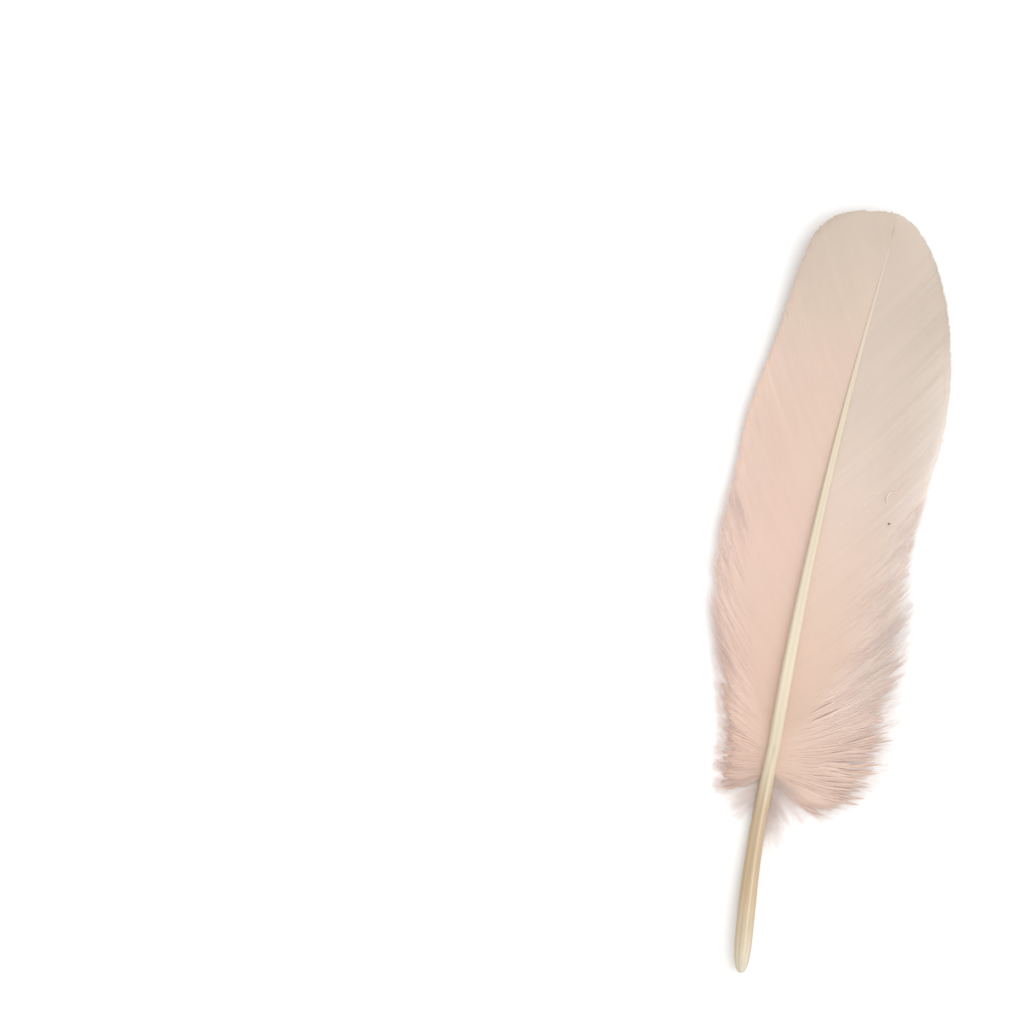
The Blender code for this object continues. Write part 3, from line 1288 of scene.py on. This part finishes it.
    def parted(self, split: Split, roots: Array, share: Array) -> Array:
        """How far barbs beside a split move along the feather.

        Args:
            split: The split.
            roots: Plan Y of the roots.
            share: Places along the barbs.

        Returns:
            The moves, away from the split on both sides of it.
        """
        t = (share - split.from_share) / (split.to_share - split.from_share)
        inside = np.where((t > 0) & (t < 1), np.sin(math.pi * np.clip(t, 0, 1)), 0.0)
        if split.to_share > 1:
            inside = np.where(t > 0, np.clip(t, 0, 1), 0.0)
        away = roots - split.root
        return np.sign(away) * 0.5 * split.opening * inside * np.exp(-np.abs(away) / split.reach)

    def widths(self, points: Array, looseness: Array) -> Array:
        """Widths that let each barb overlap the next.

        Args:
            points: The barbs' points in plan.
            looseness: How loose each barb's end is, from 0 to 1.

        Returns:
            A width for each point, less at the barbs' ends.
        """
        along = np.gradient(points, axis=1)
        along /= np.linalg.norm(along, axis=-1, keepdims=True)
        step = np.diff(points, axis=0, append=points[-1:] * 2 - points[-2:-1])
        across = step - (step * along).sum(-1, keepdims=True) * along
        width = np.clip(np.linalg.norm(across, axis=-1) * self.overlap, self.thinnest, self.widest)
        share = np.linspace(0.0, 1.0, self.points)[None, :]
        from_share = 0.9 - 0.15 * looseness**2
        end = 0.4 - 0.28 * looseness
        taper = np.clip((share - from_share) / (1 - from_share), 0, 1)
        return width * (1 - (1 - end) * taper ** (2 - 0.6 * looseness))

    def inputs(self) -> dict[str, float]:
        """Values of the tree's number inputs."""
        tilt = math.radians(self.tilt) * self.side.value
        return {"Flatness": self.flatness, "Tilt": tilt}


@dataclass
class Down(Barbs):
    """Loose barbs on one side: long ones at the foot, and shorter ends past the zipped web.

    A range holds the least and the most that a barb draws at random.
    """

    first_root: float = 47.5 * MM
    last_root: float = 60.0 * MM
    barbs: int = 120
    points: int = 16
    locks: int = 2
    from_share: float = 0.5
    last_from_share: float | None = None
    to_share: float = 1.0
    thinning: float = 1.0
    gathered: float = 0.4
    jitter: float = 0.25 * MM
    bare: float = 0.05
    sweep: float = 0.62
    stem: float = 0.07 * MM
    barbule: float = 1.7 * MM
    spacing: float = 0.16 * MM
    forward: float = 42.0
    spread: float = 16.0
    thickness: float = 0.03
    layer_lifts: tuple[float, ...] = (0.1 * MM, 0.6 * MM, 1.5 * MM)
    extra_lift: float = 0.3 * MM
    over_web: float = 0.15 * MM
    wave: float = 0.8 * MM
    wave_range: tuple[float, float] = (0.3, 1.0)
    beats_range: tuple[float, float] = (0.7, 1.6)
    start_range: tuple[float, float] = (0.6, 1.5)
    start_most: float = 0.97
    unevenness: float = 0.03
    reach_limits: tuple[float, float] = (0.9, 1.05)
    fan_range: tuple[float, float] = (0.6, 1.1)
    fan_turn: float = 0.66
    shade_jitter: float = 0.12

    def lines(self) -> Lines:
        """The loose barbs as lines.

        Returns:
            Their points, and their width, barbule length and shade.
        """
        source = random_source(f"{self.name} {self.side.name}")
        count = self.barbs
        row = (count, 1)
        share = np.linspace(0.0, 1.0, self.points)[None, :]
        stretch = self.last_root - self.first_root
        roots = self.first_root + stretch * np.linspace(0, 1, count)[:, None] ** self.thinning
        lock = np.floor((roots - self.first_root) / stretch * (self.locks - 0.01))
        centre = self.first_root + stretch * (lock + 0.5) / self.locks
        layer = np.array(self.layer_lifts)[lock.astype(int) % len(self.layer_lifts)]
        length = self.plan.barb_lengths(self.side, roots)
        reach = np.clip(1 + source.normal(0.0, self.unevenness, row), *self.reach_limits)
        last = self.from_share if self.last_from_share is None else self.last_from_share
        start = np.interp(roots, (self.first_root, self.last_root), (self.from_share, last))
        start = start * source.uniform(*self.start_range, row)
        start = np.minimum(start, self.start_most) * length
        runs = start + (self.to_share * reach * length - start) * share
        drawn = self.gathered * share**1.5
        lean = (roots + source.normal(0.0, self.jitter, row)) * (1 - drawn) + centre * drawn
        out, forward = self.plan.offset(lean, runs, self.sweep)
        phase = source.uniform(0.0, math.tau, (2, *row))
        beats = source.uniform(*self.beats_range, (2, *row))
        size = self.wave * source.uniform(*self.wave_range, row) * share
        swing, bob = (np.sin(phase + math.tau * beats * share) - np.sin(phase)) * size
        y = lean + forward + swing
        out = np.maximum(out + 0.4 * bob, 0.2 * MM)
        x = self.plan.shaft_x(y) + self.side.value * out
        fan = np.sin(math.pi * self.fan_turn * share) * layer * source.uniform(*self.fan_range, row)
        z = self.plan.underside(self.side, out, y) + self.extra_lift + fan + 0.5 * bob
        z = z + self.over_web * np.clip(1 - 3 * share, 0, 1)
        fuzz = self.barbule * np.clip(self.bare + 2.2 * share, 0, 1) * (1 - 0.5 * share**3)
        width = self.stem * (1 - 0.7 * share) * np.clip(self.bare + 5 * share, 0, 1)
        shade = 0.5 + wander(source, count, (0.25, 5.0))
        shade = shade + source.normal(0.0, self.shade_jitter, row)
        points = np.stack([x, y, np.maximum(z, LINE_GAP)], axis=-1)
        return Lines(self.place(points), {"width": width, "fuzz": fuzz, "shade": shade})

    def inputs(self) -> dict[str, float]:
        """Values of the tree's number inputs."""
        return {
            "Spacing": self.spacing,
            "Forward": math.radians(self.forward),
            "Spread": math.radians(self.spread),
            "Thickness": self.thickness,
            "Seed": len(self.name) + self.side.value,
        }


@dataclass
class Tuft(Down):
    """Curly fluff that hangs over the top of the bare quill, from the lowest barbs."""

    name: str = "tuft"
    barbs: int = 34
    points: int = 20
    root: float = 43.0 * MM
    root_run: float = 7.0 * MM
    root_out: float = 0.5 * MM
    from_angle: float = 112.0
    to_angle: float = 178.0
    shortest: float = 8.0 * MM
    longest: float = 16.0 * MM
    curl: float = 24.0
    angle_jitter: float = 5.0
    wobble: float = 14.0
    wobble_beats: float = 1.2
    dome: float = 1.6 * MM
    dome_range: tuple[float, float] = (0.4, 1.1)
    dome_turn: float = 0.8
    root_height: float = 1.1 * MM
    least_height: float = 0.35 * MM
    mean_shade: float = 0.6
    barbule: float = 1.3 * MM

    def lines(self) -> Lines:
        """The curly barbs as lines.

        Returns:
            Their points, and their width, barbule length and shade.
        """
        source = random_source(f"{self.name} {self.side.name}")
        row = (self.barbs, 1)
        share = np.linspace(0.0, 1.0, self.points)[None, :]
        order = np.linspace(0.0, 1.0, self.barbs)[:, None]
        start = self.from_angle + (self.to_angle - self.from_angle) * order
        start = start + source.normal(0.0, self.angle_jitter, row)
        bend = self.curl * source.uniform(0.0, 1.0, row) * np.where(order < 0.5, 1.0, -1.0)
        phase = source.uniform(0, 1, row) + self.wobble_beats * share
        wobble = self.wobble * np.sin(math.tau * phase)
        angle = np.radians(start + bend * share + wobble * share)
        step = source.uniform(self.shortest, self.longest, row) / (self.points - 1)
        out = np.cumsum(np.sin(angle) * step, axis=1) - np.sin(angle[:, :1]) * step
        forward = np.cumsum(np.cos(angle) * step, axis=1) - np.cos(angle[:, :1]) * step
        y = self.root + self.root_run * (1 - order) + forward
        x = self.plan.shaft_x(y) + self.side.value * (out + self.root_out)
        rise = self.dome * source.uniform(*self.dome_range, row) * np.sin(math.pi * self.dome_turn * share)
        height = self.plan.lift(self.root) * (1 - share) + self.root_height * (1 - share) ** 2
        z = height + rise + self.least_height
        fuzz = self.barbule * np.clip(0.2 + 2.5 * share, 0, 1) * (1 - 0.5 * share**3)
        width = self.stem * np.clip(0.4 + 3 * share, 0, 1) * (1 - 0.7 * share)
        shade = self.mean_shade + source.normal(0.0, self.shade_jitter, row)
        points = np.stack([x, y, np.maximum(z, LINE_GAP)], axis=-1)
        return Lines(self.place(points), {"width": width, "fuzz": fuzz, "shade": shade})


@dataclass
class Shaft(Feather):
    """Quill and rachis in one, round below and squarer with a groove above."""

    widths: Stations = Stations(
        (
            (0, 0.9), (0.5, 1.9), (1.2, 2.6), (3.5, 3.7), (8, 4.3), (14, 4.35), (30, 3.9), (45, 3.6),
            (56, 3.2), (77, 3), (97, 2.55), (110, 2.25), (120, 2), (130, 1.75), (140, 1.5),
            (150, 1.25), (160, 1), (172, 0.7), (183.4, 0.35),
        )
    )
    bottom: float = 0.15 * MM
    squareness: float = 2.9
    squaring: tuple[float, float] = (48 * MM, 62 * MM)
    end_rings: tuple[float, ...] = (0.1, 0.25, 0.45, 0.8, 1.2)
    groove_depth: float = 0.06
    groove_centre: float = -0.15
    groove_half_width: float = 0.28
    groove_fade: tuple[float, float] = (132 * MM, 172 * MM)
    low_from: tuple[float, float] = (115 * MM, 155 * MM)
    low_share: float = 0.55
    umbilicus: float = 54.6 * MM
    pit_depth: float = 0.12
    pit_half_length: float = 1.1 * MM
    rings: int = 300
    sides: int = 40

    def build(self, material: bpy.types.Material) -> bpy.types.Object:
        """Builds the shaft.

        Args:
            material: The horn's finish.

        Returns:
            The piece.
        """
        share = np.linspace(0.0, 1.0, self.rings)
        y = self.plan.shaft_length * (0.12 * share**3 + 0.88 * share)
        y = np.sort(np.concatenate([y, np.array(self.end_rings) * MM]))
        half = self.widths.at(y)[:, None] * MM / 2
        rachis = fade(y, *self.squaring)
        power = (2 / (2 + (self.squareness - 2) * rachis))[:, None]
        angle = math.tau * np.arange(self.sides) / self.sides
        c, s = np.cos(angle)[None, :], np.sin(angle)[None, :]
        across = np.sign(c) * np.abs(c) ** power
        up = np.sign(s) * np.abs(s) ** power
        place = (across - self.groove_centre) / self.groove_half_width
        notch = np.exp(-(place**2)) * (s > 0)
        pit = self.pit_depth * np.exp(-(((y - self.umbilicus) / self.pit_half_length) ** 2))
        depth = self.groove_depth * rachis * (1 - fade(y, *self.groove_fade))
        up = up - 2 * notch * (depth + pit)[:, None]
        height = (1 - (1 - self.low_share) * fade(y, *self.low_from))[:, None]
        x = self.plan.shaft_x(y)[:, None] + across * half
        z = (self.plan.lift(y) + self.bottom)[:, None] + half * (1 + up) * height
        rings = np.stack([x, np.broadcast_to(y[:, None], x.shape), z], axis=-1)
        return self.dress(self.solid("shaft", rings, {"across": across}, material), Slot.SHAFT)


@dataclass
class Crumb(Feather):
    """A crumb of dirt that lies on the right vane."""

    x: float = 13.6 * MM
    y: float = 114.7 * MM
    radius: float = 0.3 * MM
    flatness: float = 0.55
    lift: float = 0.55 * MM
    latitudes: int = 7
    longitudes: int = 10

    def build(self, material: bpy.types.Material) -> bpy.types.Object:
        """Builds the crumb.

        Args:
            material: Its finish.

        Returns:
            The piece.
        """
        out = self.x - float(self.plan.shaft_x(self.y))
        height = float(self.plan.underside(Side.RIGHT, np.array(out), np.array(self.y)))
        theta = math.pi * np.linspace(0.06, 0.94, self.latitudes)[:, None]
        phi = math.tau * np.arange(self.longitudes)[None, :] / self.longitudes
        lumps = 1 + 0.18 * np.sin(3 * phi + 2 * theta) + 0.12 * np.cos(5 * phi - theta)
        r = self.radius * lumps
        x = r * np.sin(theta) * np.cos(phi)
        y = r * np.sin(theta) * np.sin(phi) * 0.8
        z = self.flatness * r * -np.cos(theta)
        rings = np.stack([x, y, z], axis=-1) + np.array([self.x, self.y, height + self.lift])
        return self.dress(self.solid("crumb", rings, {}, material), Slot.VANES)


@dataclass
class CurledBarb(Barbs):
    """A barb that has come loose near its end and curled over on the right vane."""

    x: float = 13.55 * MM
    y: float = 120.55 * MM
    radius: float = 1.6 * MM
    width: float = 0.42 * MM
    lift: float = 0.85 * MM
    length: float = 4.9 * MM
    from_angle: float = 210.0
    turn: float = 148.0
    points: int = 24
    flatness: float = 0.5
    tilt: float = 35.0

    def lines(self) -> Lines:
        """The curled barb as one line.

        Returns:
            Its points, and the values that its finish reads.
        """
        share = np.linspace(0.0, 1.0, self.points)[None, :]
        angle = np.radians(self.from_angle - share * self.turn)
        radius = self.radius * (0.95 + 0.4 * share)
        x = self.x + radius * np.cos(angle)
        y = self.y + radius * np.sin(angle)
        lift = self.lift * (0.4 + 0.6 * np.sin(math.pi * share))
        z = self.plan.underside(self.side, x - self.plan.shaft_x(y), y) + lift
        values = {
            "width": self.width * (1 - 0.6 * share**2),
            # Painted highlight: the raised curl is made lighter and paler than the web round it.
            "shade": np.array([[1.0]]),
            "right": np.array([[1.0]]),
            "loose": np.array([[0.55]]),
            "run": share * self.length,
        }
        return Lines(self.place(np.stack([x, y, z], axis=-1)), values)

    def inputs(self) -> dict[str, float]:
        """Values of the tree's number inputs."""
        return {"Flatness": self.flatness, "Tilt": math.radians(self.tilt)}


# Floor, light and camera


@dataclass
class Studio:
    """A plain pale floor, soft light from the upper right, and a camera that looks straight down."""

    origin: Vector
    mm_per_pixel: float = 190 / 776
    image_size: int = 1024
    quill_end_pixel: tuple[float, float] = (739.5, 971.5)
    lean: float = 11.626
    lens: float = 135.0
    sensor: float = 36.0
    floor_size: float = 3.0
    softbox_power: float = 11.0
    softbox_size: float = 1.6
    softbox_place: Rgb = (0.6, 0.32, 1.3)
    feather_middle: float = 90 * MM
    sky: Rgb = (1.0, 0.995, 0.985)
    sky_strength: float = 0.98

    def floor(self, material: bpy.types.Material) -> None:
        """Lays the floor at the height of the surface.

        Args:
            material: Its finish.
        """
        half = self.floor_size / 2
        corners = [(-half, -half, 0), (half, -half, 0), (half, half, 0), (-half, half, 0)]
        mesh = bpy.data.meshes.new("floor")
        mesh.from_pydata(corners, [], [(0, 1, 2, 3)])
        mesh.materials.append(material)
        add_object("floor", mesh)

    def light(self) -> None:
        """Adds one large soft light and a bright even surround."""
        data = bpy.data.lights.new("softbox", "AREA")
        data.shape = "DISK"
        data.size = self.softbox_size
        data.energy = self.softbox_power
        softbox = add_object("softbox", data)
        softbox.location = self.origin + Vector(self.softbox_place)
        target = self.origin + Vector((0.0, self.feather_middle, 0.0))
        softbox.rotation_euler = (target - softbox.location).to_track_quat("-Z", "Y").to_euler()
        world = bpy.data.worlds.new("surround")
        world.use_nodes = True
        background = world.node_tree.nodes["Background"]
        background.inputs["Color"].default_value = (*self.sky, 1.0)
        background.inputs["Strength"].default_value = self.sky_strength
        bpy.context.scene.world = world
        bpy.context.scene.view_settings.view_transform = "Standard"

    def camera(self) -> None:
        """Sets the camera so that the feather lies in the picture as it does in the photograph."""
        turn = math.radians(self.lean)
        right = Vector((math.cos(turn), math.sin(turn), 0.0))
        up = Vector((-math.sin(turn), math.cos(turn), 0.0))
        column, row = self.quill_end_pixel
        middle = self.image_size / 2
        pixel = self.mm_per_pixel * MM
        centre = self.origin + right * ((middle - column) * pixel) + up * ((row - middle) * pixel)
        distance = self.image_size * pixel * self.lens / self.sensor
        data = bpy.data.cameras.new("camera")
        data.lens = self.lens
        data.sensor_width = self.sensor
        camera = add_object("camera", data)
        axes = Matrix((right, up, right.cross(up))).transposed()
        camera.matrix_world = Matrix.Translation(centre + Vector((0, 0, distance))) @ axes.to_4x4()
        bpy.context.scene.camera = camera


def quill_end() -> Vector:
    """Finds the plan's origin, the middle of the quill's end, on the surface.

    Returns:
        The origin in the row frame.
    """
    points = np.array([vertex.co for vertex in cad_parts[NODE].data.vertices])
    last = points[points[:, 1] < points[:, 1].min() + 0.01 * MM]
    return Vector((float(last[:, 0].mean()), float(last[:, 1].mean()), float(points[:, 2].min())))


def main() -> None:
    """Builds every piece in order, then the floor, the light and the camera."""
    logging.basicConfig(level=logging.INFO, format="%(name)s: %(message)s")
    origin = quill_end()
    plan = Plan()
    barbs = BarbFinish().make(origin)
    down = DownFinish().make(origin)
    ribbons, fluff = ribbon_tree(), fluff_tree()

    Shaft(plan, origin).build(HornFinish().make(origin))
    slits = (
        Split(58.7 * MM, 0.27, 0.5, 0.85 * MM),
        Split(60.3 * MM, 0.27, 0.48, 0.75 * MM),
        Split(98.0 * MM, 0.9, 1.2, 1.0 * MM),
    )
    notches = (Split(130.6 * MM, 0.84, 1.15, 1.4 * MM), Split(108.0 * MM, 0.9, 1.2, 1.2 * MM))
    right, left = (plan, origin, Side.RIGHT), (plan, origin, Side.LEFT)
    Vane(*right, splits=slits).build(ribbons, barbs, Slot.VANES)
    Vane(*left, splits=notches, edge_highlight=0.36).build(ribbons, barbs, Slot.VANES)

    kinds = (
        Down(
            *left, "foot_down", 47.5 * MM, 66 * MM, 150, locks=60, thinning=1.3,
            from_share=0.55, last_from_share=0.7, to_share=1.06, wave=1.2 * MM,
            layer_lifts=(0.1 * MM, 0.3 * MM, 0.5 * MM), barbule=1.5 * MM, spacing=0.2 * MM,
            thickness=0.025,
        ),
        Down(
            *left, "side_down", 50 * MM, 88 * MM, 190, locks=40, thinning=1.2,
            from_share=0.82, last_from_share=0.97, to_share=1.04, wave=0.6 * MM,
            layer_lifts=(0.1 * MM, 0.3 * MM, 0.6 * MM), barbule=1.2 * MM, spacing=0.18 * MM,
            thickness=0.025,
        ),
        Down(
            *left, "wisps", 50 * MM, 78 * MM, 50, locks=26, thinning=1.3,
            from_share=0.15, last_from_share=0.7, wave=1.0 * MM, layer_lifts=(0.2 * MM,),
            barbule=1.1 * MM, spacing=0.45 * MM, stem=0.14 * MM, extra_lift=0.5 * MM,
        ),
        Down(
            *left, "margin_down", 86 * MM, 104 * MM, 36, locks=18, thinning=1.3,
            from_share=0.97, wave=0.3 * MM, layer_lifts=(0.05 * MM,), barbule=0.5 * MM,
            spacing=0.2 * MM, stem=0.06 * MM, extra_lift=0.25 * MM,
        ),
    )
    for side in Side:
        for kind in kinds:
            replace(kind, side=side).build(fluff, down, Slot.DOWN)
    tufts = (
        Tuft(*right, barbs=84, spacing=0.2 * MM, stem=0.11 * MM),
        Tuft(*left, barbs=40, to_angle=150.0, longest=11.0 * MM),
    )
    for tuft in tufts:
        tuft.build(fluff, down, Slot.DOWN)

    CurledBarb(*right).build(ribbons, barbs, Slot.VANES, "curled_barb")
    Crumb(plan, origin).build(SpeckFinish().make())

    studio = Studio(origin)
    studio.floor(FloorFinish().make())
    studio.light()
    studio.camera()


if __name__ == "__main__":
    main()
